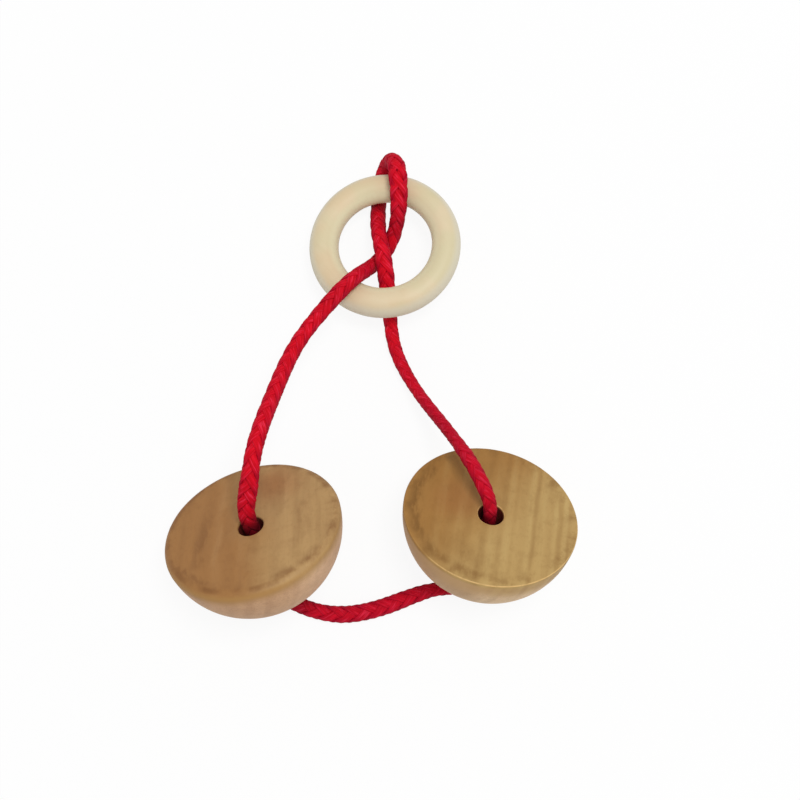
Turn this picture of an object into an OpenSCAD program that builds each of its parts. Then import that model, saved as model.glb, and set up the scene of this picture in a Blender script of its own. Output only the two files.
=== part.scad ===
// Wooden rope puzzle: two bored half-balls and a ring on one closed loop of cord.
// It lies on a table as in the photograph, with its cord threaded through the ring.
// Lengths in millimetres, +Z up, origin on the table under the middle of the wooden pieces.

/* [Half-balls] */
// Diameter of the left half-ball
left_ball_d = 56; // [48:0.5:62]
// Diameter of the right half-ball
right_ball_d = 54; // [46:0.5:60]
// Diameter of the hole drilled through each half-ball
bore_d = 8; // [7.2:0.1:9.5]
// Radius turned on the rim of the left half-ball's flat face
left_rim_round = 1.6; // [0.4:0.1:3]
// Radius turned on the rim of the right half-ball's flat face
right_rim_round = 0.5; // [0.3:0.1:3]
// Radius on the edge of the hole in the flat face
face_mouth_round = 0.6; // [0.2:0.1:1.5]
// Radius on the edge of the hole in the dome
dome_mouth_round = 1.5; // [0.2:0.1:2.5]

/* [Ring] */
// Outside diameter of the ring
ring_d = 50; // [44:0.5:56]
// Diameter of the ring's round section
ring_section_d = 9.4; // [7:0.1:12]

/* [Cord] */
// Diameter of the braided cord
cord_d = 5; // [4:0.1:5.4]
// Room between the cord and the low side of the hole that it lies in
cord_side_gap = 0.8; // [0.3:0.1:1]
// Room between the cord on the table and the ring that lies on it
ring_rest_gap = 0.6; // [0.3:0.1:1]

/* [Left half-ball on the table] */
// Place of the left half-ball's centre across the table
left_ball_x = -36.5; // [-50:0.5:-34]
// Place of the left half-ball's centre along the table
left_ball_y = -45.25; // [-60:0.25:-40]
// How far the left flat face leans from level, in degrees
left_lean = 42; // [35:1:50]
// Direction that the left flat face leans in, in degrees from +X
left_lean_toward = 109; // [95:1:125]

/* [Right half-ball on the table] */
// Place of the right half-ball's centre across the table
right_ball_x = 36.75; // [34:0.25:50]
// Place of the right half-ball's centre along the table
right_ball_y = -41.75; // [-56:0.25:-38]
// Height that the cord under the right half-ball holds it up by
right_ball_lift = 1.5; // [0:0.5:4]
// How far the right flat face leans from level, in degrees
right_lean = 35; // [28:1:45]
// Direction that the right flat face leans in, in degrees from +X
right_lean_toward = 76; // [60:1:95]

/* [Ring on the table] */
// Place of the ring's centre across the table
ring_x = 4; // [0:0.5:8]
// Place of the ring's centre along the table
ring_y = 48; // [45:0.5:52]
// How far the ring leans from level, in degrees
ring_lean = 7.5; // [0:0.5:10]
// Direction that the ring's lower side lies in, in degrees from +X
ring_lean_toward = 130; // [90:1:150]

/* [Hidden] */
$fn = 96;
cut = 0.01;

left_r = left_ball_d / 2;
right_r = right_ball_d / 2;
bore_r = bore_d / 2;
ring_r = (ring_d - ring_section_d) / 2;
left_centre = [left_ball_x, left_ball_y, left_r];
right_centre = [right_ball_x, right_ball_y, right_r + right_ball_lift];

// The ring's far side lies on the cord, and its lean lifts the centre above that
ring_side_drop = ring_r * sin(ring_lean) * sin(ring_lean_toward);
ring_centre = [ring_x, ring_y, cord_d + ring_rest_gap + ring_section_d / 2 + ring_side_drop];

// Unit vector square to a flat face that leans so
function facing(lean, toward) = [sin(lean) * cos(toward), sin(lean) * sin(toward), cos(lean)];
function unit(v) = v / norm(v);
// The lowest direction square to a hole, which the cord in it sinks to
function low_side(along) = unit(along[2] * along - [0, 0, 1]);

left_facing = facing(left_lean, left_lean_toward);
right_facing = facing(right_lean, right_lean_toward);
side_room = bore_r - cord_d / 2 - cord_side_gap;

// Where the loop is parted into its two runs, measured down each hole from the flat face
cord_split_depth = 13;
// Points of the cord in the left hole, along the hole's low side. s is above the flat face
function in_left(s) = left_centre + s * left_facing + side_room * low_side(left_facing);
// The right hole's cord leans across it, from the low side at the face to the high side at the dome
right_cross_rate = 1 / 15;
function in_right(s) = right_centre + s * right_facing
    + (s + cord_split_depth) * right_cross_rate * low_side(right_facing);

// Left flat face, over the ring's near left side, down inside it, over its far side, back
// under it and up, across the first strand, under the ring's near side, to the right flat face
upper_points = [
    [-37.2, -38.5, 34.3], [-35.6, -32.2, 39.8], [-34.7, -25, 42], [-32.6, -15.9, 39.5],
    [-29.9, -5.8, 32.5], [-26.9, 4.7, 26.5], [-22.9, 14.2, 22.5], [-16.2, 23, 22],
    [-9.3, 30.7, 23.1], [-4.7, 35.9, 19.7], [-2, 40, 11], [1.3, 44, 6], [5.1, 49, 5],
    [7.9, 55, 9], [8.8, 61.2, 16.5], [8.5, 68, 20.8], [7.7, 75.5, 18], [5.4, 78.5, 10.5],
    [3, 75.5, 4], [2, 68.5, 1.6], [1.5, 61, 4.5], [1.8, 53, 10.5], [3, 46.5, 13.7],
    [4.3, 39.5, 13], [5, 32, 7.5], [5.8, 24.8, 3], [6.8, 15.8, 2.5], [11.1, 6.3, 3],
    [16.7, -3.4, 9], [22.3, -11.9, 18], [27, -20.1, 27.5], [30.4, -26.1, 33],
    [33.5, -32.4, 34.6], [36.3, -38.2, 32.2]];
// Left dome, along the table, to the right dome
lower_points = [
    [-27.5, -66.5, 4.5], [-23, -69, 2.5], [-17, -71, 2.5], [-10, -72, 2.5], [-3, -71.2, 2.5],
    [4.5, -69.2, 2.5], [12.5, -66, 2.5], [20, -63.5, 2.5], [26, -63.5, 2.5], [31, -61.5, 4.2]];

upper_route = concat([for (s = [-cord_split_depth, -6.5, 0, 4.5]) in_left(s)], upper_points,
    [for (s = [-1.5, -7, -cord_split_depth]) in_right(s)]);
lower_route = concat([for (s = [-cord_split_depth, -19, -25]) in_left(s)], lower_points,
    [for (s = [-25, -19, -cord_split_depth]) in_right(s)]);

// The cord's centreline is a cubic B-spline that starts and ends on its route's end points
function spline(p, i, t) = (pow(1 - t, 3) * p[i] + (3 * pow(t, 3) - 6 * t * t + 4) * p[i + 1]
    + (-3 * pow(t, 3) + 3 * t * t + 3 * t + 1) * p[i + 2] + pow(t, 3) * p[i + 3]) / 6;
function with_ends(p) = concat([2 * p[0] - p[1]], p, [2 * p[len(p) - 1] - p[len(p) - 2]]);
function turn_at(p, i) = acos(min(1, unit(p[i] - p[i - 1]) * unit(p[i + 1] - p[i])));
// A stretch that turns by more than this at either end takes two steps, and others one
sharp_turn = 30;
function steps(p, i) = max(turn_at(p, i + 1), turn_at(p, i + 2)) > sharp_turn ? 2 : 1;
function centreline(route) = let (p = with_ends(route), last = len(route) - 2) concat(
    [for (i = [0:last]) let (k = steps(p, i)) for (j = [0:k - 1]) spline(p, i, j / k)],
    [route[last + 1]]);

// Rings of the tube are carried along without twist
function heading(c, i) = unit(c[min(i + 1, len(c) - 1)] - c[max(i - 1, 0)]);
function square_to(v, along) = unit(v - (v * along) * along);
function across(c, i, last) = square_to(last, heading(c, i));
function carried(c, i, last) = i == len(c) ? []
    : let (u = across(c, i, last)) concat([u], carried(c, i + 1, u));
cord_sides = 10;
function tube_ring(centre, u, along) = let (v = cross(along, u))
    [for (k = [0:cord_sides - 1]) let (a = 360 * k / cord_sides)
        centre + cord_d / 2 * (cos(a) * u + sin(a) * v)];

module tube(route) {
    c = centreline(route);
    us = carried(c, 0, [0, 0, 1]);
    ring_points = [for (i = [0:len(c) - 1]) each tube_ring(c[i], us[i], heading(c, i))];
    first = (len(c) - 1) * cord_sides;
    sides = [for (i = [0:len(c) - 2]) for (k = [0:cord_sides - 1])
        let (a = i * cord_sides + k, b = i * cord_sides + (k + 1) % cord_sides)
        each [[a, a + cord_sides, b], [b, a + cord_sides, b + cord_sides]]];
    start_cap = [[for (k = [0:cord_sides - 1]) k]];
    end_cap = [[for (k = [0:cord_sides - 1]) first + cord_sides - 1 - k]];
    polyhedron(ring_points, concat(sides, start_cap, end_cap), convexity = 10);
}

// What a round of radius r, centred at c, takes off the corner between directions from and to
module corner_off(c, r, from, to) {
    reach = 3 * r;
    mid = (from + to) / 2;
    translate(c)
        difference() {
            polygon([[0, 0], reach * [cos(from), sin(from)], 1.5 * reach * [cos(mid), sin(mid)],
                reach * [cos(to), sin(to)]]);
            circle(r);
        }
}

// Half of a half-ball's section, with its flat face on top and its hole left out
module ball_section(r, rim) {
    rim_x = sqrt(pow(r - rim, 2) - rim * rim);
    mouth_x = bore_r + dome_mouth_round;
    mouth_y = -sqrt(pow(r - dome_mouth_round, 2) - mouth_x * mouth_x);
    difference() {
        intersection() {
            circle(r);
            translate([bore_r, -r - cut]) square([r, r + cut]);
        }
        corner_off([rim_x, -rim], rim, atan2(-rim, rim_x), 90);
        corner_off([bore_r + face_mouth_round, -face_mouth_round], face_mouth_round, 90, 180);
        corner_off([mouth_x, mouth_y], dome_mouth_round, 180, 360 + atan2(mouth_y, mouth_x));
    }
}

module half_ball(r, rim, centre, lean, toward) {
    translate(centre)
        rotate([0, lean, toward])
            rotate_extrude()
                ball_section(r, rim);
}

module left_half_ball() {
    color("#b89468")
        half_ball(left_r, left_rim_round, left_centre, left_lean, left_lean_toward);
}

module right_half_ball() {
    color("#b5935f")
        half_ball(right_r, right_rim_round, right_centre, right_lean, right_lean_toward);
}

module ring() {
    color("#dccdac")
        translate(ring_centre)
            rotate([0, ring_lean, ring_lean_toward])
                rotate_extrude()
                    translate([ring_r, 0]) circle(ring_section_d / 2);
}

module cord_upper_run() {
    color("#c81428") tube(upper_route);
}

module cord_lower_run() {
    color("#c81428") tube(lower_route);
}

left_half_ball();
right_half_ball();
ring();
cord_upper_run();
cord_lower_run();
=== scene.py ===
import math
import bpy
from mathutils import Euler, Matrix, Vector, noise


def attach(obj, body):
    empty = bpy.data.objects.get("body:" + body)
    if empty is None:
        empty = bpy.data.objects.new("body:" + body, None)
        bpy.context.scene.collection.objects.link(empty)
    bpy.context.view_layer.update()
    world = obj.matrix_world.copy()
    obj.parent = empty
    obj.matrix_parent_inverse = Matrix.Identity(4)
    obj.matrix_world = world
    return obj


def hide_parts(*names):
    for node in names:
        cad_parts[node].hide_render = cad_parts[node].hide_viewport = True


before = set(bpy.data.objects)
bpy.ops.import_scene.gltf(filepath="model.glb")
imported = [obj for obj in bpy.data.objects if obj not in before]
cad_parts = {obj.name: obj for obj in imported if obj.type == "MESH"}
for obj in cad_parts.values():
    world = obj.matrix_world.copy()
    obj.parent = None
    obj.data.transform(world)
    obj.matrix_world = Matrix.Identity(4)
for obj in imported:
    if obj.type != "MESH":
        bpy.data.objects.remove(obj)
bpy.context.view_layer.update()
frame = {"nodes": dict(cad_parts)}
scene = bpy.context.scene
mm = 0.001  # every size below is written in millimetres
print("frame loaded:", ", ".join(frame["nodes"]))


class Wire:
    # a socket that can be used in sums like a number
    def __init__(self, sheet, socket):
        self.sheet, self.socket = sheet, socket

    def __add__(self, other):
        return self.sheet.sum("ADD", self, other)

    def __radd__(self, other):
        return self.sheet.sum("ADD", other, self)

    def __sub__(self, other):
        return self.sheet.sum("SUBTRACT", self, other)

    def __rsub__(self, other):
        return self.sheet.sum("SUBTRACT", other, self)

    def __mul__(self, other):
        return self.sheet.sum("MULTIPLY", self, other)

    def __rmul__(self, other):
        return self.sheet.sum("MULTIPLY", other, self)

    def __truediv__(self, other):
        return self.sheet.sum("DIVIDE", self, other)

    def __rtruediv__(self, other):
        return self.sheet.sum("DIVIDE", other, self)

    def out(self, name):
        return Wire(self.sheet, self.socket.node.outputs[name])


class NodeSheet:
    # one node tree, with short ways to add to it
    def __init__(self, tree):
        self.tree = tree

    def node(self, kind, settings=None, values=None, out=0):
        made = self.tree.nodes.new(kind)
        for key, value in (settings or {}).items():
            setattr(made, key, value)
        for key, value in (values or {}).items():
            if isinstance(value, Wire):
                self.tree.links.new(value.socket, made.inputs[key])
            else:
                made.inputs[key].default_value = value
        return Wire(self, made.outputs[out]) if made.outputs else made

    def sum(self, operation, a, b=0.0):
        return self.node("ShaderNodeMath", {"operation": operation}, {0: a, 1: b})

    def vector(self, operation, a, b=(0, 0, 0), out=0):
        return self.node("ShaderNodeVectorMath", {"operation": operation}, {0: a, 1: b}, out)

    def scaled(self, a, factor):
        return self.node("ShaderNodeVectorMath", {"operation": "SCALE"}, {0: a, "Scale": factor})

    def split(self, a):
        parts = self.node("ShaderNodeSeparateXYZ", None, {0: a})
        return parts.out("X"), parts.out("Y"), parts.out("Z")

    def joined(self, x, y, z):
        return self.node("ShaderNodeCombineXYZ", None, {0: x, 1: y, 2: z})

    def fromAxis(self, x, y):
        return self.vector("LENGTH", self.joined(x, y, 0), out="Value")

    def step(self, value, low, high, toLow=0.0, toHigh=1.0):
        # a soft step from toLow at low to toHigh at high
        return self.node("ShaderNodeMapRange", {"interpolation_type": "SMOOTHSTEP"},
                         {"Value": value, "From Min": low, "From Max": high,
                          "To Min": toLow, "To Max": toHigh})

    def mark(self, value, start, full, share):
        # 0 where the value is at start, and share where it is at full
        return self.step(value, start, full, 0, share)

    def noise(self, place, scale, detail=3.0, roughness=0.5):
        return self.node("ShaderNodeTexNoise", None,
                         {"Vector": place, "Scale": scale, "Detail": detail, "Roughness": roughness})

    def drawnNoise(self, place, scales, detail, roughness):
        # noise with a scale of its own along each axis
        return self.noise(self.vector("MULTIPLY", place, scales), 1.0, detail, roughness)

    def mixed(self, factor, a, b):
        # colours only
        return self.node("ShaderNodeMix", {"data_type": "RGBA"}, {0: factor, 6: a, 7: b}, 2)


def fromScreen(red, green, blue):
    # a colour as it is read off a screen, from 0 to 255, as the linear value that nodes take
    def linear(level):
        share = level / 255
        return share / 12.92 if share <= 0.04045 else ((share + 0.055) / 1.055) ** 2.4
    return linear(red), linear(green), linear(blue), 1.0


def newMaterial(name):
    material = bpy.data.materials.new(name)
    material.use_nodes = True
    material.node_tree.nodes.clear()
    return material, NodeSheet(material.node_tree)


fibreEnds = (0.3, 0.7)  # the noise of fibres lies mostly between these


def finishMaterial(s, colour, fibre, heights, values):
    # rougher where the fibre noise is low, with one bump for each of the heights
    smoothest = values["roughness"]
    roughness = s.step(fibre, *fibreEnds, smoothest + values["roughExtra"], smoothest)
    strength, distance = values["bump"]
    normal = None
    for height in heights:
        bump = {"Strength": strength, "Distance": distance * mm, "Height": height}
        if normal:
            bump["Normal"] = normal
        normal = s.node("ShaderNodeBump", None, bump)
    shader = s.node("ShaderNodeBsdfPrincipled", None,
                    {"Base Color": colour, "Roughness": roughness, "Normal": normal,
                     "Specular IOR Level": values["specular"]})
    s.node("ShaderNodeOutputMaterial", None, {"Surface": shader})


def meshPiece(name, points, faces, smooth=True):
    mesh = bpy.data.meshes.new(name)
    mesh.from_pydata(points, [], faces)
    mesh.validate()
    mesh.polygons.foreach_set("use_smooth", [smooth] * len(mesh.polygons))
    mesh.update()
    piece = bpy.data.objects.new(name, mesh)
    scene.collection.objects.link(piece)
    return piece


cameraValues = {
    "place": (9.0, -74.6, 414.7),
    "elevation": 80,  # degrees above the horizon
    "lens": 57.06,
    "sensor": 36,
    "clip": (0.01, 10),  # in metres
}

cameraData = bpy.data.cameras.new("photoCamera")
cameraData.lens = cameraValues["lens"]
cameraData.sensor_width = cameraValues["sensor"]
cameraData.clip_start, cameraData.clip_end = cameraValues["clip"]
camera = bpy.data.objects.new("photoCamera", cameraData)
camera.location = Vector(cameraValues["place"]) * mm
camera.rotation_euler = (math.radians(90 - cameraValues["elevation"]), 0, 0)
scene.collection.objects.link(camera)
scene.camera = camera
print("camera set")


# sizes and places as in the part's source, apart from the rims, which are sanded unevenly here
leftHalfBall = {
    "centre": (-36.5, -45.25, 28),
    "lean": 42,
    "leanToward": 109,
    "radius": 28,
    "rimRound": 1.9,
    "rimExtra": 1.0,  # how much rounder the rim is sanded on its most worn side
    "rimExtraToward": 140,  # where that side is, in degrees from the piece's own X
    "seed": 3,
}

rightHalfBall = {
    "centre": (36.75, -41.75, 28.5),
    "lean": 35,
    "leanToward": 76,
    "radius": 27,
    "rimRound": 0.5,
    "rimExtra": 0.1,
    "rimExtraToward": 140,
    "seed": 11,
}

halfBallShared = {
    "boreRadius": 4.0,
    "faceMouthRound": 0.6,
    "domeMouthRound": 1.5,
    "turns": 256,  # steps round the piece
    "unevenness": 0.05,  # how far the sanded surface wanders, in mm
    # steps along the section, in the order in which it is drawn
    "faceMouthSteps": 6,
    "faceSteps": 24,
    "rimSteps": 12,
    "domeSteps": 64,
    "domeMouthSteps": 10,
    "boreSteps": 16,
}


def facing(values):
    lean, toward = math.radians(values["lean"]), math.radians(values["leanToward"])
    return Vector((math.sin(lean) * math.cos(toward), math.sin(lean) * math.sin(toward), math.cos(lean)))


def turnOf(values):
    # the turn that takes a level piece to its lean
    return Euler((0, math.radians(values["lean"]), math.radians(values["leanToward"])))


cord = {
    "diameter": 5.0,
    "sideGap": 0.8,  # room between the cord and the low side of the hole
    "splitDepth": 13,  # where the two runs meet, below the flat face
    "rightCrossRate": 1 / 15,  # how steeply the cord leans across the right hole
    "pairs": 4,  # strands that wind each way
    "lead": 20.5,  # length of cord in which a strand goes once round
    "strandWidth": 2.9,
    "strandThick": 1.05,
    "weaveDepth": 0.2,  # how far a strand rises and sinks
    "plateau": 1.35,  # above 1, a strand stays longer at the top and bottom of its wave
    "coreRadius": 1.45,
    "strandSides": 8,
    "coreSides": 12,
    "stepsPerSpan": 8,  # points of the centreline from one point of the route to the next
    "samplesPerMm": 1.7,
    "red": fromScreen(222, 4, 36),
    "deepRed": fromScreen(190, 1, 20),
    "highlightRed": fromScreen(248, 62, 96),
    # painted shade, in the holes and on shaded stretches of the cord
    "shadeRed": fromScreen(62, 0, 8),
    "dullRed": fromScreen(120, 2, 44),  # painted shade low on the cord's sides and where it lies between the domes, and a duller red on the strand to the right half-ball
    # noises of the yarn: scale across a strand, shift from strand to strand, scale along it, roughness
    "yarn": (7, 3.7, 260, 0.55),
    "ply": (6, 9.1, 330, 0.5),
    # marks: where each starts, where it is full, and its share of the colour there
    "redYarn": (0.34, 0.66),
    "darkPly": (0.46, 0.34, 0.6),
    "plyHighlight": (0.52, 0.7, 0.45),
    "plyHighlightHeight": (-0.9, 0.2),  # the painted highlight shows only high on the strand's wave
    # painted shade where a strand sinks under others, and on the core seen between strands
    "creaseShade": (0.3, -1, 0.45),
    "coreShadeShare": 0.6,
    # painted shade low on the cord's sides
    "sides": (3.0, 1.9, 0.5),
    "shadeBetweenDomes": (-50, -62, 0.24),  # painted shade where it lies between the domes, along the table's Y in mm
    "rightStrand": (-50, -44, 0.22),
    "rightStrandFrom": (10, 17),  # along the table's X
    # painted shade on stretches of the cord, such as under the ring's far side: middle, how far it fades,
    # and share
    "shadeSpots": (((8.3, 57, 10), 7.5, 0.28), ((1.7, 62.5, 4), 5, 0.6), ((-25, -67, 3), 10, 0.36),
                  ((-11, 29, 23), 10, 0.12), ((9.5, 9.5, 3), 11, 0.14)),
    # the painted shade of each hole on the cord: how deep it goes, the heights over the flat face where it
    # starts and is full, and its share
    "holes": ((leftHalfBall, 9, 6.4, -0.4, 0.88), (rightHalfBall, 24, 3.4, -1.4, 0.6)),
    "holeReach": (5.0, 4.2),  # how far off the hole's axis the painted shade starts and is full
    "holeFade": 2,  # the painted shade ends over this many mm at its deepest
    "spotCore": 0.3,  # a painted shade spot is full within this share of its reach
    "roughness": 0.7,
    "roughExtra": 0.1,
    "bump": (0.4, 0.2),  # strength, and distance in mm
    "specular": 0.12,
}

# the route as in the part's source: its points between the two holes, and its points in each hole as
# heights over the flat face. The widths are (share of the run, width), where 1 is the round braid. The
# strands keep their own thickness, so the whole cord changes a little less than that
upperRun = {
    "name": "upperCord",
    "node": "cord_upper_run",
    "leftHeights": (-13, -6.5, 0, 4.5),
    "rightHeights": (-1.5, -7, -13),
    "points": (
        (-37.2, -38.5, 34.3), (-35.6, -32.2, 39.8), (-34.7, -25, 42), (-32.6, -15.9, 39.5),
        (-29.9, -5.8, 32.5), (-26.9, 4.7, 26.5), (-22.9, 14.2, 22.5), (-16.2, 23, 22),
        (-9.3, 30.7, 23.1), (-4.7, 35.9, 19.7), (-2, 40, 11), (1.3, 44, 6), (5.1, 49, 5),
        (7.9, 55, 9), (8.8, 61.2, 16.5), (8.5, 68, 20.8), (7.7, 75.5, 18), (5.4, 78.5, 10.5),
        (3, 75.5, 4), (2, 68.5, 1.6), (1.5, 61, 4.5), (1.8, 53, 10.5), (3, 46.5, 13.7),
        (4.3, 39.5, 13), (5, 32, 7.5), (5.8, 24.8, 3), (6.8, 15.8, 2.5), (11.1, 6.3, 3),
        (16.7, -3.4, 9), (22.3, -11.9, 18), (27, -20.1, 27.5), (30.4, -26.1, 33),
        (33.5, -32.4, 34.6), (36.3, -38.2, 32.2)),
    "widths": (
        (0, 1.0), (0.045, 1.08), (0.08, 1.28), (0.105, 1.08), (0.2, 1.07), (0.26, 1.0), (0.305, 1.1),
        (0.34, 1.0), (0.38, 0.97), (0.41, 1.02), (0.43, 1.02), (0.455, 1.24), (0.48, 1.34),
        (0.505, 1.08), (0.53, 1.05), (0.56, 1.06), (0.6, 1.1), (0.625, 1.05), (0.655, 1.2),
        (0.69, 1.1), (0.715, 0.9), (0.74, 0.86), (0.79, 0.71), (0.87, 0.69), (0.905, 0.87),
        (0.93, 0.89), (0.955, 0.8), (1, 0.9)),
}

lowerRun = {
    "name": "lowerCord",
    "node": "cord_lower_run",
    "leftHeights": (-13, -19, -25),
    "rightHeights": (-25, -19, -13),
    "points": (
        (-27.5, -66.5, 4.5), (-23, -69, 2.5), (-17, -71, 2.5), (-10, -72, 2.5), (-3, -71.2, 2.5),
        (4.5, -69.2, 2.5), (12.5, -66, 2.5), (20, -63.5, 2.5), (26, -63.5, 2.5), (31, -61.5, 4.2)),
    "widths": ((0, 1.0), (0.3, 1.04), (0.4, 1.16), (0.56, 1.16), (0.64, 1.04), (0.7, 0.86), (1, 0.9)),
}


def lowSide(along):
    # the lowest direction square to a hole
    return (along[2] * along - Vector((0, 0, 1))).normalized()


def inLeft(heights):
    along = facing(leftHalfBall)
    room = halfBallShared["boreRadius"] - cord["diameter"] / 2 - cord["sideGap"]
    return [Vector(leftHalfBall["centre"]) + s * along + room * lowSide(along) for s in heights]


def inRight(heights):
    along = facing(rightHalfBall)
    return [Vector(rightHalfBall["centre"]) + s * along
            + (s + cord["splitDepth"]) * cord["rightCrossRate"] * lowSide(along) for s in heights]


def routeOf(run):
    return inLeft(run["leftHeights"]) + [Vector(p) for p in run["points"]] + inRight(run["rightHeights"])


def centreline(route):
    # the cubic B-spline that the part's source follows, as close points
    p = [2 * route[0] - route[1], *route, 2 * route[-1] - route[-2]]
    points = []
    for i in range(len(route) - 1):
        for j in range(cord["stepsPerSpan"]):
            t = j / cord["stepsPerSpan"]
            points.append(((1 - t) ** 3 * p[i] + (3 * t ** 3 - 6 * t * t + 4) * p[i + 1]
                           + (-3 * t ** 3 + 3 * t * t + 3 * t + 1) * p[i + 2] + t ** 3 * p[i + 3]) / 6)
    return points + [route[-1]]


def lengthOf(points):
    return sum((b - a).length for a, b in zip(points, points[1:]))


def between(stops, share):
    # the value at a share of the way, eased from one stop to the next
    for (a, low), (b, high) in zip(stops, stops[1:]):
        if share <= b:
            t = max(0.0, (share - a) / (b - a))
            return low + (high - low) * t * t * (3 - 2 * t)
    return stops[-1][1]


def captured(s, geometry, items):
    # keeps values on a geometry as it is now, for use after it has changed
    kept = s.node("GeometryNodeCaptureAttribute", None, {"Geometry": geometry})
    keeper = kept.socket.node
    for item, (kind, value) in enumerate(items):
        keeper.capture_items.new(kind, f"kept{item}")
        s.tree.links.new(value.socket, keeper.inputs[1 + item])
    return kept, [Wire(s, keeper.outputs[1 + item]) for item in range(len(items))]


def stored(s, geometry, name, value):
    return s.node("GeometryNodeStoreNamedAttribute", {"data_type": "FLOAT_VECTOR", "domain": "POINT"},
                  {"Geometry": geometry, "Name": name, "Value": value})


def braidTree():
    # builds a braid along a curve: each strand winds round it and passes over two and under two
    tree = bpy.data.node_groups.new("braidAlongCurve", "GeometryNodeTree")
    sockets = tree.interface
    sockets.new_socket("Curve", in_out="INPUT", socket_type="NodeSocketGeometry")
    for name in ("Samples", "Pairs"):
        sockets.new_socket(name, in_out="INPUT", socket_type="NodeSocketInt")
    for name in ("Lead", "Radius", "Weave Depth", "Strand Width", "Strand Thick", "Core Radius"):
        sockets.new_socket(name, in_out="INPUT", socket_type="NodeSocketFloat")
    sockets.new_socket("Material", in_out="INPUT", socket_type="NodeSocketMaterial")
    sockets.new_socket("Mesh", in_out="OUTPUT", socket_type="NodeSocketGeometry")
    s = NodeSheet(tree)
    given = s.node("NodeGroupInput")
    curve = s.node("GeometryNodeResampleCurve", {"mode": "COUNT"},
                   {"Curve": given.out("Curve"), "Count": given.out("Samples")})
    copies = s.node("GeometryNodeDuplicateElements", {"domain": "SPLINE"},
                    {"Geometry": curve, "Amount": given.out("Pairs") * 2})
    number = copies.out("Duplicate Index")
    strand = s.sum("FLOOR", number / 2)
    way = (number - 2 * strand) * 2 - 1  # -1 or 1, the way a strand winds
    along = s.node("GeometryNodeSplineParameter").out("Length")
    turns = along / given.out("Lead")
    angle = (way * turns + strand / given.out("Pairs")) * math.tau
    # wave runs from -1 where a strand lies under others to 1 where it lies over them
    crossing = 2 * strand + way * turns * 2 * given.out("Pairs")
    wave = s.sum("COSINE", (crossing - 0.5) * (math.tau / 4)) * way * cord["plateau"]
    wave = s.sum("MAXIMUM", s.sum("MINIMUM", wave, 1), -1)
    tangent = s.node("GeometryNodeInputTangent")
    normal = s.node("GeometryNodeInputNormal")
    binormal = s.vector("CROSS_PRODUCT", tangent, normal)
    outward = s.vector("ADD", s.scaled(normal, s.sum("COSINE", angle)),
                       s.scaled(binormal, s.sum("SINE", angle)))
    # the braid is flatter or narrower where its width attribute says so
    across = s.vector("NORMALIZE", s.vector("CROSS_PRODUCT", tangent, (0, 0, 1)))
    width = s.node("GeometryNodeInputNamedAttribute", {"data_type": "FLOAT"}, {"Name": "width"})
    thin = s.sum("MINIMUM", 1 / width, (1 + width) / 2)
    acrossPart = s.vector("DOT_PRODUCT", outward, across, "Value")
    upPart = s.vector("SUBTRACT", outward, s.scaled(across, acrossPart))
    shaped = s.vector("ADD", s.scaled(across, acrossPart * width), s.scaled(upPart, thin))
    radius = given.out("Radius") + given.out("Weave Depth") * wave
    kept, (keptOutward, keptAlong, keptNumber, keptWave) = captured(
        s, copies, (("VECTOR", outward), ("FLOAT", along), ("FLOAT", number), ("FLOAT", wave)))
    upness = s.split(keptOutward)[2] + 2  # from 1 under the cord to 3 on top of it
    moved = s.node("GeometryNodeSetPosition", None, {"Geometry": kept, "Offset": s.scaled(shaped, radius)})
    turned = s.node("GeometryNodeSetCurveNormal", {"mode": "FREE"}, {"Curve": moved, "Normal": keptOutward})
    section = s.node("GeometryNodeCurvePrimitiveCircle", None,
                     {"Resolution": cord["strandSides"], "Radius": 0.5})
    sectionKept, (sectionAt,) = captured(s, section, (("VECTOR", s.node("GeometryNodeInputPosition")),))
    oval = s.node("GeometryNodeTransform", None,
                  {"Geometry": sectionKept,
                   "Scale": s.joined(given.out("Strand Thick"), given.out("Strand Width"), 1)})
    strands = s.node("GeometryNodeCurveToMesh", None,
                     {"Curve": turned, "Profile Curve": oval, "Fill Caps": True})
    # fibre is where a point is in its strand's section and along it, for the yarn's own pattern
    x, y = s.split(sectionAt)[:2]
    strands = stored(s, strands, "fibre", s.joined(x, y, keptAlong))
    strands = stored(s, strands, "strand", s.joined(keptNumber, keptWave, upness))
    strands = s.node("GeometryNodeSetShadeSmooth", None, {"Geometry": strands})
    coreRound = s.node("GeometryNodeCurvePrimitiveCircle", None,
                       {"Resolution": cord["coreSides"], "Radius": given.out("Core Radius")})
    core = s.node("GeometryNodeCurveToMesh", None,
                  {"Curve": curve, "Profile Curve": coreRound, "Fill Caps": True})
    both = s.node("GeometryNodeJoinGeometry", None, {"Geometry": core})
    tree.links.new(strands.socket, both.socket.node.inputs[0])
    real = s.node("GeometryNodeRealizeInstances", None, {"Geometry": both})
    done = s.node("GeometryNodeSetMaterial", None, {"Geometry": real, "Material": given.out("Material")})
    s.node("NodeGroupOutput", None, {"Mesh": done})
    return tree


def ballPlace(s, values):
    # place in the piece's own frame in mm, where z is 0 on a flat face or in the ring's middle plane
    place = s.node("ShaderNodeTexCoord").out("Object")
    centre = Vector(values["centre"]) * mm
    return s.node("ShaderNodeMapping", {"vector_type": "TEXTURE"},
                  {"Vector": place, "Location": centre, "Rotation": turnOf(values), "Scale": (mm, mm, mm)})


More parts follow.
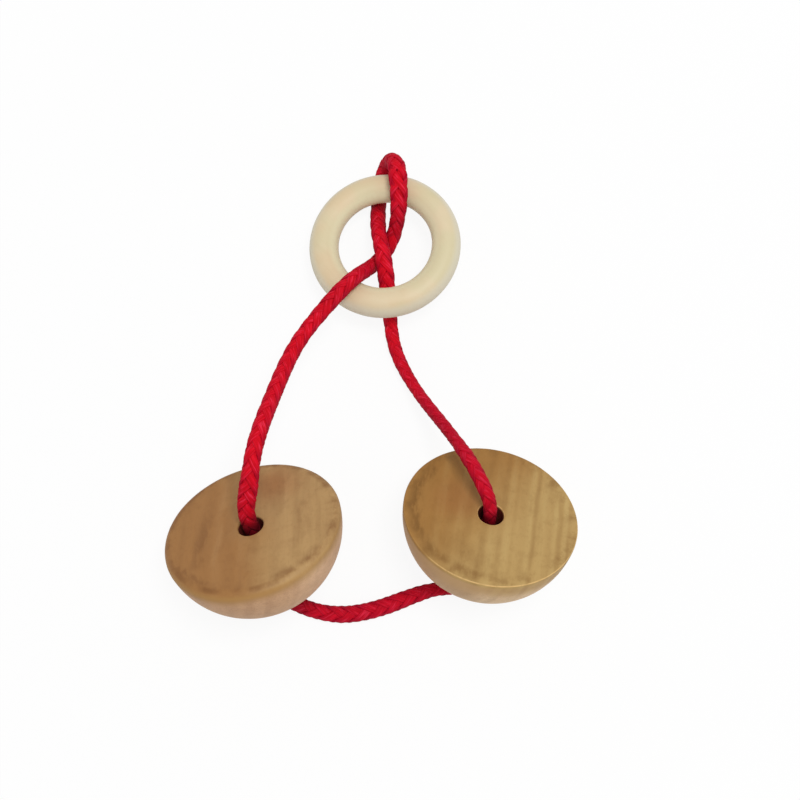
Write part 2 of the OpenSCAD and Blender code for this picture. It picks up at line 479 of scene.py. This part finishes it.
def cordMaterial():
    material, s = newMaterial("redBraid")
    fibre = s.node("ShaderNodeAttribute", {"attribute_name": "fibre"}, None, "Vector")
    strandData = s.node("ShaderNodeAttribute", {"attribute_name": "strand"}, None, "Vector")
    number, wave, upness = s.split(strandData)  # upness is 0 on the core
    isStrand = s.step(upness, 0.4, 0.6)  # 1 on a strand, whose upness is at least 1
    x, y, along = s.split(fibre)

    def filaments(across, shift, lengthways, roughness):
        # they run along the strand
        place = s.joined(x * across + number * shift, y * across, along * lengthways)
        return s.noise(place, 1.0, roughness=roughness)

    yarn = filaments(*cord["yarn"])
    ply = filaments(*cord["ply"])
    body = s.mixed(s.step(yarn, *cord["redYarn"]), cord["deepRed"], cord["red"])
    body = s.mixed(s.mark(ply, *cord["darkPly"]), body, cord["deepRed"])
    # painted highlight of pale yarn, only high on the strand's wave
    pale = s.mark(ply, *cord["plyHighlight"]) * s.step(wave, *cord["plyHighlightHeight"])
    body = s.mixed(pale, body, cord["highlightRed"])
    # painted shade where a strand sinks under others, and on the core seen between strands
    low = s.mark(wave, *cord["creaseShade"]) * isStrand + (1 - isStrand) * cord["coreShadeShare"]
    body = s.mixed(low, body, cord["deepRed"])
    # painted shade low on the cord's sides
    body = s.mixed(s.mark(upness, *cord["sides"]), body, cord["dullRed"])
    # painted shade where it lies between the domes, and a duller red on the strand to the right half-ball
    onTable = s.scaled(s.node("ShaderNodeTexCoord").out("Object"), 1 / mm)
    tableX, tableY = s.split(onTable)[:2]
    body = s.mixed(s.mark(tableY, *cord["shadeBetweenDomes"]), body, cord["dullRed"])
    onRight = s.step(tableX, *cord["rightStrandFrom"]) * s.mark(tableY, *cord["rightStrand"])
    body = s.mixed(onRight, body, cord["dullRed"])
    # painted shade on stretches of the cord, such as under the ring
    for middle, reach, share in cord["shadeSpots"]:
        gap = s.vector("DISTANCE", onTable, middle, "Value")
        body = s.mixed(s.mark(gap, reach, reach * cord["spotCore"], share), body, cord["shadeRed"])
    # painted shade where the cord goes down into a hole
    for values, deepest, start, full, share in cord["holes"]:
        holeX, holeY, depth = s.split(ballPlace(s, values))
        near = s.step(s.fromAxis(holeX, holeY), *cord["holeReach"])
        reached = s.mark(depth, -deepest - cord["holeFade"], -deepest, share)
        body = s.mixed(near * s.step(depth, start, full) * reached, body, cord["shadeRed"])
    finishMaterial(s, body, yarn, [yarn], cord)
    return material


braid = braidTree()
redBraid = cordMaterial()


def braidedRun(run):
    line = centreline(routeOf(run))
    length = lengthOf(line)
    # the run's mesh is made by the braid's nodes from a line of vertices that carries the width
    lineMesh = bpy.data.meshes.new(run["name"])
    lineMesh.from_pydata([p * mm for p in line], [(i, i + 1) for i in range(len(line) - 1)], [])
    width = lineMesh.attributes.new("width", "FLOAT", "POINT")
    gone = 0.0
    for i, place in enumerate(line):
        gone += (place - line[i - 1]).length if i else 0.0
        width.data[i].value = between(run["widths"], gone / length)
    piece = bpy.data.objects.new(run["name"], lineMesh)
    scene.collection.objects.link(piece)
    wrap = bpy.data.node_groups.new(run["name"] + "Wrap", "GeometryNodeTree")
    wrap.interface.new_socket("Line", in_out="INPUT", socket_type="NodeSocketGeometry")
    wrap.interface.new_socket("Mesh", in_out="OUTPUT", socket_type="NodeSocketGeometry")
    s = NodeSheet(wrap)
    given = s.node("NodeGroupInput")
    asCurve = s.node("GeometryNodeMeshToCurve", None, {"Mesh": given.out("Line")})
    braided = s.node("GeometryNodeGroup", {"node_tree": braid}, {
        "Curve": asCurve, "Samples": int(length * cord["samplesPerMm"]), "Pairs": cord["pairs"],
        "Lead": cord["lead"] * mm, "Weave Depth": cord["weaveDepth"] * mm,
        "Radius": (cord["diameter"] / 2 - cord["weaveDepth"] - cord["strandThick"] / 2) * mm,
        "Strand Width": cord["strandWidth"] * mm, "Strand Thick": cord["strandThick"] * mm,
        "Core Radius": cord["coreRadius"] * mm, "Material": redBraid})
    s.node("NodeGroupOutput", None, {"Mesh": braided})
    modifier = piece.modifiers.new("braid", "NODES")
    modifier.node_group = wrap
    evaluated = piece.evaluated_get(bpy.context.evaluated_depsgraph_get())
    finished = bpy.data.meshes.new_from_object(evaluated)
    piece.modifiers.remove(modifier)
    piece.data = finished
    print(run["name"], "is", round(length, 1), "mm long, with", len(finished.polygons), "faces")
    return piece, line, length


upperCord = braidedRun(upperRun)
lowerCord = braidedRun(lowerRun)


# what the two woods share
woodShared = {
    # painted highlight along a crisp edge
    "edgeHighlightColour": fromScreen(228, 188, 124),
    # painted shade inside the bore
    "boreShade": fromScreen(96, 34, 26),
    # noises: scale per mm, for each axis or for all, then detail and roughness
    "drift": (0.05, 2.0, 0.5),
    "cloud": (0.06, 3.0, 0.5),
    "mottle": (0.22, 4.0, 0.6),
    "chips": (0.3, 4.0, 0.6),
    "fade": ((0.06, 0.3, 0.3), 2.0, 0.5),
    "streak": ((0.03, 0.22, 0.22), 3.0, 0.5),
    "fibre": ((0.05, 1.3, 1.3), 4.0, 0.55),
    "fleck": ((0.35, 2.6, 2.6), 2.0, 0.5),
    "fineMottle": ((0.5, 0.9, 0.9), 3.0, 0.6),
    "ragged": ((0.16, 0.45, 0), 3.0, 0.6),
    "patches": ((0.2, 0.2, 0), 4.0, 0.6),
    "breaks": ((0.1, 0.1, 0), 4.0, 0.6),
    "pores": ((1.1, 1.7, 1.7), 2.0, 0.6),
    # scale across the growth rings, scale along the grain, slice of the noise, detail, roughness
    "domeBands": (0.3, 0.012, 5, 3.0, 0.55),
    "cloudShift": 14,  # how far the broad colours wander, in mm
    "smudgeShift": (5, 6),  # how far the smudges do, along the piece's own X and Y
    "ringsAskew": 0.22,  # how far the growth rings stand off upright
    "warmCore": 2,  # the warm patch is full within this many mm of its middle
    "strokeReach": 1.6,  # a smudge fades out at this many half widths
    # how much of the broad wander the warm patch, the dome's painted light and the band follow
    "warmShift": 0.6,
    "paleShift": 0.5,
    "bandShift": 0.15,
    # where a noise starts and is full, with its values there if they aren't 0 and 1
    "fadeEnds": (0.36, 0.6),
    "patchEnds": (0.42, 0.68),
    "breakEnds": (0.38, 0.64),
    "chipStep": (0.38, 0.56, 0.35, 1),
    "raggedStep": (0.3, 0.58, 0.3, 1),
    "lineLeast": 0.4,  # what is left of a growth ring where it fades
    "paleLoss": 0.7,  # how much a pale line loses where the growth rings show
    "domeLines": 0.7,  # how much of both shows on the dome
    "domePaleLines": 0.5,
    # a line starts and is full at these shares of its half width
    "lineEdges": (1.8, 0.2),
    "paleLineEdges": (1.6, 0.3),
    # marks: noise, where it starts and is full, and how much it darkens
    "faceMarks": (("fleck", 0.6, 0.78, 0.14), ("mottle", 0.48, 0.68, 0.16), ("fineMottle", 0.5, 0.7, 0.1)),
    "domeMarks": (("streak", 0.42, 0.7, 0.12), ("fibre", 0.4, 0.7, 0.12), ("fleck", 0.56, 0.7, 0.16)),
    "domeMottle": (0.45, 0.68, 0.07),
    "endGrain": (0.6, 0.97),  # where the dome turns to end grain, as a share of the radius
    "endPores": (0.5, 0.7, 0.16),
    "endShare": 0.1,
    "faceEnds": (-0.5, -0.05),  # the flat face's own marks end and are full here, in mm below it
    "bandStarts": (-0.5, -2.0),
    "bandShares": (0.3, 0.85),  # the band's share at the two ends of bandFrom
    "domeShare": 0.92,
    "mouthEnds": (4.5, 4.05),  # the painted shade of the hole starts and is full here, in mm off its axis
    "mouthDepths": (-0.1, -0.9),
    # wear near the rim: where it starts and is full, in mm inside it
    "wornIn": (5.5, 1.8),
    "edgeLineIn": (3.1, 1.9),
    "edgeLineDepths": (-1.1, -0.4),
    # the painted highlight along a crisp edge: its top, its foot, and how it fades toward the worn left
    # side
    "brightTop": (-0.02, -0.1),
    "brightFoot": (-0.38, -0.2),
    "brightFade": (19, 8, 0.15, 1),
    "roughExtra": 0.08,
    "bump": (0.03, 0.08),  # strength, and distance in mm
    "specular": 0.25,
}

leftWood = {
    "brown": fromScreen(159, 113, 64),  # on the left of the flat face
    "tan": fromScreen(181, 145, 95),  # on its right
    "blend": (9, -9),  # where one turns into the other, along the piece's own Y in mm
    "blendSlant": 0.0,  # how far that is turned toward its X
    "warm": fromScreen(158, 109, 65),  # a redder patch on the far right
    "warmAt": (16, -9.5, 14),  # its middle and how far it fades, in mm
    "warmShare": 0.9,
    "dark": fromScreen(120, 78, 40),
    "dome": fromScreen(208, 166, 129),
    # painted light: a paler dome on one side
    "domePale": fromScreen(221, 183, 147),
    "litSideFrom": (-4, -18),  # where the dome turns paler as painted light, along the piece's own Y in mm
    "band": fromScreen(168, 126, 72),  # the golden band below the flat face's edge
    "bandEnds": (-1.6, -6.0),  # where it fades into the dome, in mm below the flat face
    "bandFrom": (-16, 2),  # where it begins along the piece's own Y
    "grainTurn": -12,  # degrees from the piece's own X
    "pith": 60,  # how far off the middle of the growth rings is, in mm
    # growth rings: place across the grain in mm, half width in mm, depth
    "lines": ((20.5, 1.6, 0.12), (14, 1.4, 0.14), (6, 1.8, 0.12), (-1, 1.1, 0.12), (-8, 1.6, 0.14),
              (-14.5, 0.9, 0.12), (-21, 0.8, 0.14)),
    "pale": fromScreen(196, 156, 106),
    "paleLines": ((10, 1.4, 0.16), (2.5, 1.2, 0.12), (-11.5, 1.5, 0.2), (-18, 1.2, 0.16)),
    "wander": 3.2,  # how far the grain wanders, in mm
    "faceMarks": (("streak", 0.46, 0.7, 0.18), ("fibre", 0.42, 0.72, 0.07)),
    "domeMarks": (("domeBands", 0.4, 0.66, 0.12),),
    # smudges: two ends of a stroke, half width and depth
    "smudges": (((11, 12.5), (-9, 19), 1.9, 0.34), ((4, 14.5), (-4, 17), 1.5, 0.3),
                ((21, -5), (5, -8), 3.2, 0.2), ((2, -16), (-8, -16), 3.0, 0.2),
                ((-12, -2), (-13, -9), 1.8, 0.1), ((-8, 24.5), (-17, 17.5), 1.2, 0.5),
                ((-25, -3.5), (-23.8, -8.5), 1.3, 0.5), ((-22.5, -12.5), (-18.5, -17.5), 1.4, 0.4)),
    "rimMarks": 0.3,  # how dark the worn patches near the rim are
    "edgeLine": 0.6,  # the dark line where the flat face ends
    "edgeHighlightShare": 0.0,  # the painted highlight along a crisp edge
    "roughness": 0.55,
}

rightWood = {
    "brown": fromScreen(159, 115, 58),
    "tan": fromScreen(182, 149, 92),
    "blend": (15, -11),
    "blendSlant": 0.5,
    "warm": fromScreen(158, 108, 58),
    "warmAt": (3, 11, 11),
    "warmShare": 0.7,
    "dark": fromScreen(124, 86, 38),
    "dome": fromScreen(199, 161, 119),
    # painted light: a paler dome on one side
    "domePale": fromScreen(236, 203, 162),
    "litSideFrom": (7, -6),
    "band": fromScreen(186, 148, 104),
    "bandEnds": (-2.5, -8.5),
    "bandFrom": (-12, 6),
    "grainTurn": 2,
    "pith": 75,
    "lines": ((-24.2, 0.5, 0.3), (-21.3, 0.8, 0.3), (-18.2, 1.1, 0.1), (-13.6, 0.7, 0.34),
              (-10.2, 1.3, 0.09), (-7.4, 0.6, 0.14), (-3.6, 0.7, 0.28), (1.6, 1.0, 0.24),
              (6.5, 1.0, 0.14), (12, 1.4, 0.14), (19, 1.6, 0.14)),
    "pale": fromScreen(204, 180, 120),
    "paleLines": ((-22.9, 0.7, 0.3), (-19.8, 0.7, 0.2), (-16, 0.9, 0.1), (-11.9, 0.8, 0.18),
                  (-5.6, 0.9, 0.12), (-1.2, 0.9, 0.12), (9, 1.2, 0.1), (15.5, 1.2, 0.08)),
    "wander": 1.1,
    "faceMarks": (("streak", 0.46, 0.7, 0.12), ("fibre", 0.42, 0.72, 0.03)),
    "domeMarks": (("domeBands", 0.4, 0.66, 0.15),),
    "smudges": (((12.2, 21.1), (4.2, 24), 1.7, 0.8), ((4.2, 24), (-4.2, 24), 1.7, 0.9),
                ((-4.2, 24), (-12.2, 21.1), 1.7, 0.85), ((-12.2, 21.1), (-18.7, 15.7), 1.7, 0.55),
                ((-18.7, 15.7), (-24.3, 2), 1.6, 0.45), ((-15, 9), (-19, 0), 4.0, 0.28),
                ((-14, 19), (-20, 13), 2.0, 0.2), ((-23, 6), (-24, -2), 1.6, 0.34),
                ((-10, 17), (-14, 14), 2.6, 0.16), ((16, 6), (20, 2), 3.0, 0.14),
                ((-4, 6), (-22, 6.5), 1.5, 0.12)),
    "rimMarks": 0.5,
    "edgeLine": 0.0,
    # painted highlight along the crisp edge
    "edgeHighlightShare": 0.7,
    "roughness": 0.52,
}


def strokeAt(s, x, y, ends, halfWidth):
    # 1 along the middle of a stroke between two points of the flat face, fading to 0
    (ax, ay), (bx, by) = ends
    lengthSquared = (bx - ax) ** 2 + (by - ay) ** 2
    share = ((x - ax) * (bx - ax) + (y - ay) * (by - ay)) / lengthSquared
    share = s.sum("MAXIMUM", s.sum("MINIMUM", share, 1), 0)
    gap = s.fromAxis(x - ax - share * (bx - ax), y - ay - share * (by - ay))
    return s.step(gap, halfWidth * woodShared["strokeReach"], 0)


def softLines(s, level, lines, edges):
    # lines along the growth rings, each at a place across the grain
    start, full = edges
    return sum(s.mark(s.sum("ABSOLUTE", level - middle), width * start, width * full, depth)
               for middle, width, depth in lines)


def halfBallMaterial(name, values, wood):
    material, s = newMaterial(name)
    place = ballPlace(s, values)
    x, y, z = s.split(place)
    away = s.fromAxis(x, y)  # from the hole's axis
    turned = s.node("ShaderNodeVectorRotate", {"rotation_type": "Z_AXIS"},
                    {"Vector": place, "Angle": -math.radians(wood["grainTurn"])})
    drift = s.vector("SUBTRACT", s.noise(turned, *woodShared["drift"]).out("Color"), (0.5, 0.5, 0.5))
    bent = s.vector("ADD", turned, s.scaled(drift, wood["wander"]))
    along, across, up = s.split(bent)
    # the growth rings are wide circles round a far-off pith, and stand a little askew
    pith = wood["pith"]
    level = pith - s.fromAxis(across - pith, up) + up * woodShared["ringsAskew"]
    acrossScale, alongScale, bandSlice, detail, roughness = woodShared["domeBands"]
    bandPlace = s.joined(level * acrossScale, along * alongScale, bandSlice)
    patterns = {
        "streak": s.drawnNoise(bent, *woodShared["streak"]),
        "fibre": s.drawnNoise(bent, *woodShared["fibre"]),
        "fleck": s.drawnNoise(turned, *woodShared["fleck"]),
        "mottle": s.noise(place, *woodShared["mottle"]),
        "fineMottle": s.drawnNoise(turned, *woodShared["fineMottle"]),
        "domeBands": s.noise(bandPlace, 1.0, detail, roughness),
    }
    fibre = patterns["fibre"]

    radius = values["radius"]

    def fromRim(inward):
        return [radius - distance for distance in inward]

    def darker(base, share):
        return s.mixed(share, base, wood["dark"])

    def marked(base, marks):
        for pattern, start, full, share in marks:
            base = darker(base, s.mark(patterns[pattern], start, full, share))
        return base

    # broad colour, from brown on one side to tan on the other
    cloud = s.noise(bent, *woodShared["cloud"])
    shift = (cloud - 0.5) * woodShared["cloudShift"]
    colour = s.mixed(s.step(y + x * wood["blendSlant"] + shift, *wood["blend"]), wood["brown"], wood["tan"])
    warmX, warmY, reach = wood["warmAt"]
    gap = s.vector("DISTANCE", s.joined(x, y, 0), (warmX, warmY, 0), "Value")
    warm = s.mark(gap + shift * woodShared["warmShift"], reach, woodShared["warmCore"], wood["warmShare"])
    colour = s.mixed(warm, colour, wood["warm"])
    # growth rings as soft lines, fading in and out along the grain, with pale wood between them
    fade = s.step(s.drawnNoise(bent, *woodShared["fade"]), *woodShared["fadeEnds"])
    least = woodShared["lineLeast"]
    lines = softLines(s, level, wood["lines"], woodShared["lineEdges"]) * (least + (1 - least) * fade)
    colour = darker(colour, lines)
    lighter = softLines(s, level, wood["paleLines"], woodShared["paleLineEdges"])
    lighter = lighter * (1 - woodShared["paleLoss"] * fade)
    colour = s.mixed(lighter, colour, wood["pale"])
    colour = marked(colour, wood["faceMarks"] + woodShared["faceMarks"])
    # smudges from handling, on the flat face and just inside its edge
    onFace = s.step(z, *woodShared["faceEnds"])
    ragged = s.drawnNoise(turned, *woodShared["ragged"])
    uneven = s.step(ragged, *woodShared["raggedStep"])
    shiftX, shiftY = woodShared["smudgeShift"]
    smudgeX, smudgeY = x + (cloud - 0.5) * shiftX, y + (ragged - 0.5) * shiftY
    for first, second, halfWidth, depth in wood["smudges"]:
        stroke = strokeAt(s, smudgeX, smudgeY, (first, second), halfWidth)
        colour = darker(colour, stroke * uneven * onFace * depth)
    patchy = s.step(s.drawnNoise(place, *woodShared["patches"]), *woodShared["patchEnds"])
    worn = s.step(away, *fromRim(woodShared["wornIn"])) * onFace
    colour = darker(colour, worn * patchy * wood["rimMarks"])
    # the turned dome, with a darker band below its edge
    banded = s.step(y, *wood["bandFrom"], *woodShared["bandShares"])
    colour = s.mixed(s.step(z, *woodShared["bandStarts"]) * banded, colour, wood["band"])
    # painted light: the dome paler on one side
    litSide = s.step(y + shift * woodShared["paleShift"], *wood["litSideFrom"])
    dome = s.mixed(litSide, wood["dome"], wood["domePale"])
    dome = darker(dome, lines * woodShared["domeLines"])
    dome = marked(dome, wood["domeMarks"] + woodShared["domeMarks"])
    dome = s.mixed(lighter * woodShared["domePaleLines"], dome, wood["pale"])
    endGrain = s.step(s.sum("ABSOLUTE", along) / radius, *woodShared["endGrain"])
    pores = s.mark(s.drawnNoise(bent, *woodShared["pores"]), *woodShared["endPores"])
    dome = darker(dome, endGrain * (woodShared["endShare"] + pores))
    dome = darker(dome, s.mark(patterns["mottle"], *woodShared["domeMottle"]))
    onDome = s.step(z + shift * woodShared["bandShift"], *wood["bandEnds"]) * woodShared["domeShare"]
    colour = s.mixed(onDome, colour, dome)
    if wood["edgeLine"]:
        broken = s.step(s.drawnNoise(place, *woodShared["breaks"]), *woodShared["breakEnds"])
        line = s.step(away, *fromRim(woodShared["edgeLineIn"])) * s.step(z, *woodShared["edgeLineDepths"])
        colour = darker(colour, line * broken * wood["edgeLine"])
    # painted highlight along the crisp edge
    if wood["edgeHighlightShare"]:
        chipped = s.step(s.noise(place, *woodShared["chips"]), *woodShared["chipStep"])
        line = s.step(z, *woodShared["brightTop"]) * s.step(z, *woodShared["brightFoot"])
        line = line * s.step(y, *woodShared["brightFade"])
        colour = s.mixed(line * chipped * wood["edgeHighlightShare"], colour, woodShared["edgeHighlightColour"])
    # painted shade inside the hole
    inside = s.step(away, *woodShared["mouthEnds"]) * s.step(z, *woodShared["mouthDepths"])
    colour = s.mixed(inside, colour, woodShared["boreShade"])
    finishMaterial(s, colour, fibre, [fibre, patterns["fleck"]], {**woodShared, **wood})
    return material


def arc(centre, radius, start, end, steps):
    angles = [math.radians(start + (end - start) * i / steps) for i in range(steps + 1)]
    return [(centre[0] + radius * math.cos(a), centre[1] + radius * math.sin(a)) for a in angles]


def halfBallProfile(values, angle):
    # the section at one angle round the piece, because the rim is sanded unevenly
    worn = math.cos(angle - math.radians(values["rimExtraToward"]))
    radius, rim = values["radius"], values["rimRound"] + values["rimExtra"] * max(0.0, worn)
    bore, face, dome = (halfBallShared[k] for k in ("boreRadius", "faceMouthRound", "domeMouthRound"))
    faceSteps, boreSteps = halfBallShared["faceSteps"], halfBallShared["boreSteps"]
    rimX = math.sqrt((radius - rim) ** 2 - rim * rim)
    rimEnd = math.degrees(math.atan2(-rim, rimX))
    mouthX = bore + dome
    mouthY = -math.sqrt((radius - dome) ** 2 - mouthX * mouthX)
    mouthStart = math.degrees(math.atan2(mouthY, mouthX))
    points = arc((bore + face, -face), face, 180, 90, halfBallShared["faceMouthSteps"])
    points += [(bore + face + (rimX - bore - face) * i / faceSteps, 0) for i in range(1, faceSteps)]
    points += arc((rimX, -rim), rim, 90, rimEnd, halfBallShared["rimSteps"])
    points += arc((0, 0), radius, rimEnd, mouthStart, halfBallShared["domeSteps"])[1:-1]
    points += arc((mouthX, mouthY), dome, mouthStart, -180, halfBallShared["domeMouthSteps"])
    points += [(bore, mouthY + (-face - mouthY) * i / boreSteps) for i in range(1, boreSteps)]
    return points


wanderScale = 0.16  # how fine the wander of a turned surface is, per mm


def lathed(name, profileAt, values, turns, unevenness):
    # a closed profile spun round its axis, set at its lean, with a little wander in its surface
    frameTurn = turnOf(values).to_matrix()
    centre, seedShift = Vector(values["centre"]), Vector((values["seed"], 0, 0))
    points, faces = [], []
    count = len(profileAt(0))
    for i in range(turns):
        angle = math.tau * i / turns
        for radius, height in profileAt(angle):
            level = Vector((radius * math.cos(angle), radius * math.sin(angle), height))
            push = noise.noise(level * wanderScale + seedShift) * unevenness
            level *= 1 - abs(push) / max(level.length, 1)
            points.append((centre + frameTurn @ level) * mm)
    for i in range(turns):
        for j in range(count):
            a, b = i * count + j, i * count + (j + 1) % count
            c, d = (i + 1) % turns * count + (j + 1) % count, (i + 1) % turns * count + j
            faces.append((a, b, c, d))
    return meshPiece(name, points, faces)


def halfBall(name, values, wood, node):
    piece = lathed(name, lambda angle: halfBallProfile(values, angle), values,
                   halfBallShared["turns"], halfBallShared["unevenness"])
    piece.data.materials.append(halfBallMaterial(name + "Wood", values, wood))
    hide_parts(node)
    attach(piece, node)
    print(name, "made")


halfBall("leftHalfBall", leftHalfBall, leftWood, "left_half_ball")
halfBall("rightHalfBall", rightHalfBall, rightWood, "right_half_ball")


ringValues = {
    "centre": (4, 48, 12.33),
    "lean": 7.5,
    "leanToward": 130,
    "middleRadius": 20.3,
    "sectionRadius": 4.7,
    "openingShift": 0.32,  # the opening is turned a little off centre, by this much in mm
    "openingToward": -58,  # and this way, in degrees from the ring's own X
    "openingSmaller": 0.15,  # how much less it opens than the round section would
    "turns": 256,
    "sectionSteps": 64,
    "unevenness": 0.04,
    "seed": 23,
    "pale": fromScreen(219, 201, 167),
    "warm": fromScreen(216, 194, 157),
    "green": fromScreen(208, 199, 161),
    "dark": fromScreen(196, 176, 136),
    "litInner": fromScreen(226, 220, 184),  # painted light: paler on the side toward the opening
    "litInnerFrom": (18.8, 16.2, 0.9),  # where it starts and is full, in mm off the axis, and its share
    "outer": fromScreen(215, 209, 188),  # a greyer tone round the outside
    "outerFrom": (22.4, 24.6, 0.8),
    # noises: scale per mm, for each axis or for all, then detail and roughness
    "warmCloud": (0.07, 3.0, 0.5),
    "greenCloud": (0.06, 2.0, 0.5),
    "greenShift": (40, 0, 0),
    "fibre": ((0.05, 1.3, 1.3), 4.0, 0.55),
    "fleck": ((0.4, 4.0, 4.0), 2.0, 0.5),
    # marks: where each starts and is full in its noise, and its share
    "warmMark": (0.44, 0.66, 0.8),
    "greenMark": (0.5, 0.68, 0.7),
    "fibreMark": (0.46, 0.74, 0.1),
    "fleckMark": (0.62, 0.78, 0.08),
    "roughness": 0.45,
    "roughExtra": 0.06,
    "bump": (0.03, 0.08),  # strength, and distance in mm
    "specular": 0.3,
}


def ringMaterial():
    material, s = newMaterial("paleRingWood")
    place = ballPlace(s, ringValues)
    x, y = s.split(place)[:2]
    away = s.fromAxis(x, y)
    warmCloud = s.noise(place, *ringValues["warmCloud"])
    greenCloud = s.noise(s.vector("ADD", place, ringValues["greenShift"]), *ringValues["greenCloud"])
    fibre = s.drawnNoise(place, *ringValues["fibre"])
    fleck = s.drawnNoise(place, *ringValues["fleck"])
    colour = s.mixed(s.mark(warmCloud, *ringValues["warmMark"]), ringValues["pale"], ringValues["warm"])
    colour = s.mixed(s.mark(greenCloud, *ringValues["greenMark"]), colour, ringValues["green"])
    # painted light: paler toward the opening
    colour = s.mixed(s.mark(away, *ringValues["litInnerFrom"]), colour, ringValues["litInner"])
    colour = s.mixed(s.mark(away, *ringValues["outerFrom"]), colour, ringValues["outer"])
    colour = s.mixed(s.mark(fibre, *ringValues["fibreMark"]), colour, ringValues["dark"])
    colour = s.mixed(s.mark(fleck, *ringValues["fleckMark"]), colour, ringValues["dark"])
    finishMaterial(s, colour, fibre, [fibre], ringValues)
    return material


def makeRing():
    sectionRadius, steps = ringValues["sectionRadius"], ringValues["sectionSteps"]
    outer = ringValues["middleRadius"] + sectionRadius

    def sectionAt(angle):
        # the section is wider or narrower round the ring, on the side toward the opening
        shift = ringValues["openingShift"] * math.cos(angle - math.radians(ringValues["openingToward"]))
        half = sectionRadius + (ringValues["openingSmaller"] - shift) / 2
        turns = [math.pi - math.tau * i / steps for i in range(steps)]
        return [(outer - half + half * math.cos(a), sectionRadius * math.sin(a)) for a in turns]

    piece = lathed("ringPiece", sectionAt, ringValues, ringValues["turns"], ringValues["unevenness"])
    piece.data.materials.append(ringMaterial())
    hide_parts("ring")
    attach(piece, "ring")
    print("ring made")


makeRing()


def declareCord(piece, line, length, node):
    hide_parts(node)
    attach(piece, "cord")
    line[0] * mm
    length * mm
    cord["diameter"] * mm
    [p * mm for p in line]


declareCord(*upperCord, upperRun["node"])
declareCord(*lowerCord, lowerRun["node"])


room = {
    "floorSize": 6.0,
    "floorColour": (0.9, 0.9, 0.9, 1.0),
    "white": (1, 1, 1, 1),
    "cameraWhite": 0.9,  # how much of the floor that the camera sees is plain white
    "shadowEnds": (0.12, 0.3),  # from here to here, in metres off the middle, the rest turns white too
    "world": 0.58,
    "keyPower": 4.9,
    "keyPlace": (0.17, 0.05, 1.0),
    "keySize": 0.35,
}


def seenByCamera(s):
    # 1 for what the camera sees, straight or in a glossy or clear surface, and 0 for what lights
    path = s.node("ShaderNodeLightPath")
    mirrored = s.sum("MAXIMUM", path.out("Is Glossy Ray"), path.out("Is Transmission Ray"))
    return s.sum("MAXIMUM", path.out("Is Camera Ray"), mirrored)


def makeFloor():
    half = room["floorSize"] / 2
    floor = meshPiece("floor", [(-half, -half, 0), (half, -half, 0), (half, half, 0), (-half, half, 0)],
                      [(0, 1, 2, 3)], False)
    material, s = newMaterial("paleFloor")
    matt = s.node("ShaderNodeBsdfDiffuse", None, {"Color": room["floorColour"]})
    white = s.node("ShaderNodeEmission", None, {"Color": room["white"], "Strength": 1.0})
    away = s.vector("LENGTH", s.node("ShaderNodeTexCoord").out("Object"), out="Value")
    whiteness = s.step(away, *room["shadowEnds"], room["cameraWhite"], 1)
    mix = s.node("ShaderNodeMixShader", None, {0: seenByCamera(s) * whiteness, 1: matt, 2: white})
    s.node("ShaderNodeOutputMaterial", None, {"Surface": mix})
    floor.data.materials.append(material)


def makeLight():
    world = bpy.data.worlds.new("softWorld")
    scene.world = world
    world.use_nodes = True
    world.node_tree.nodes.clear()
    s = NodeSheet(world.node_tree)
    sky = s.node("ShaderNodeBackground", None, {"Color": room["white"], "Strength": room["world"]})
    white = s.node("ShaderNodeBackground", None, {"Color": room["white"], "Strength": 1.0})
    mix = s.node("ShaderNodeMixShader", None, {0: seenByCamera(s), 1: sky, 2: white})
    s.node("ShaderNodeOutputWorld", None, {"Surface": mix})
    data = bpy.data.lights.new("keyLight", "AREA")
    data.shape = "DISK"
    data.size = room["keySize"]
    data.energy = room["keyPower"]
    lamp = bpy.data.objects.new("keyLight", data)
    lamp.location = room["keyPlace"]
    lamp.rotation_euler = (-Vector(room["keyPlace"])).to_track_quat("-Z", "Y").to_euler()
    scene.collection.objects.link(lamp)


makeFloor()
makeLight()
scene.view_settings.view_transform = "Standard"
print("floor and light set")
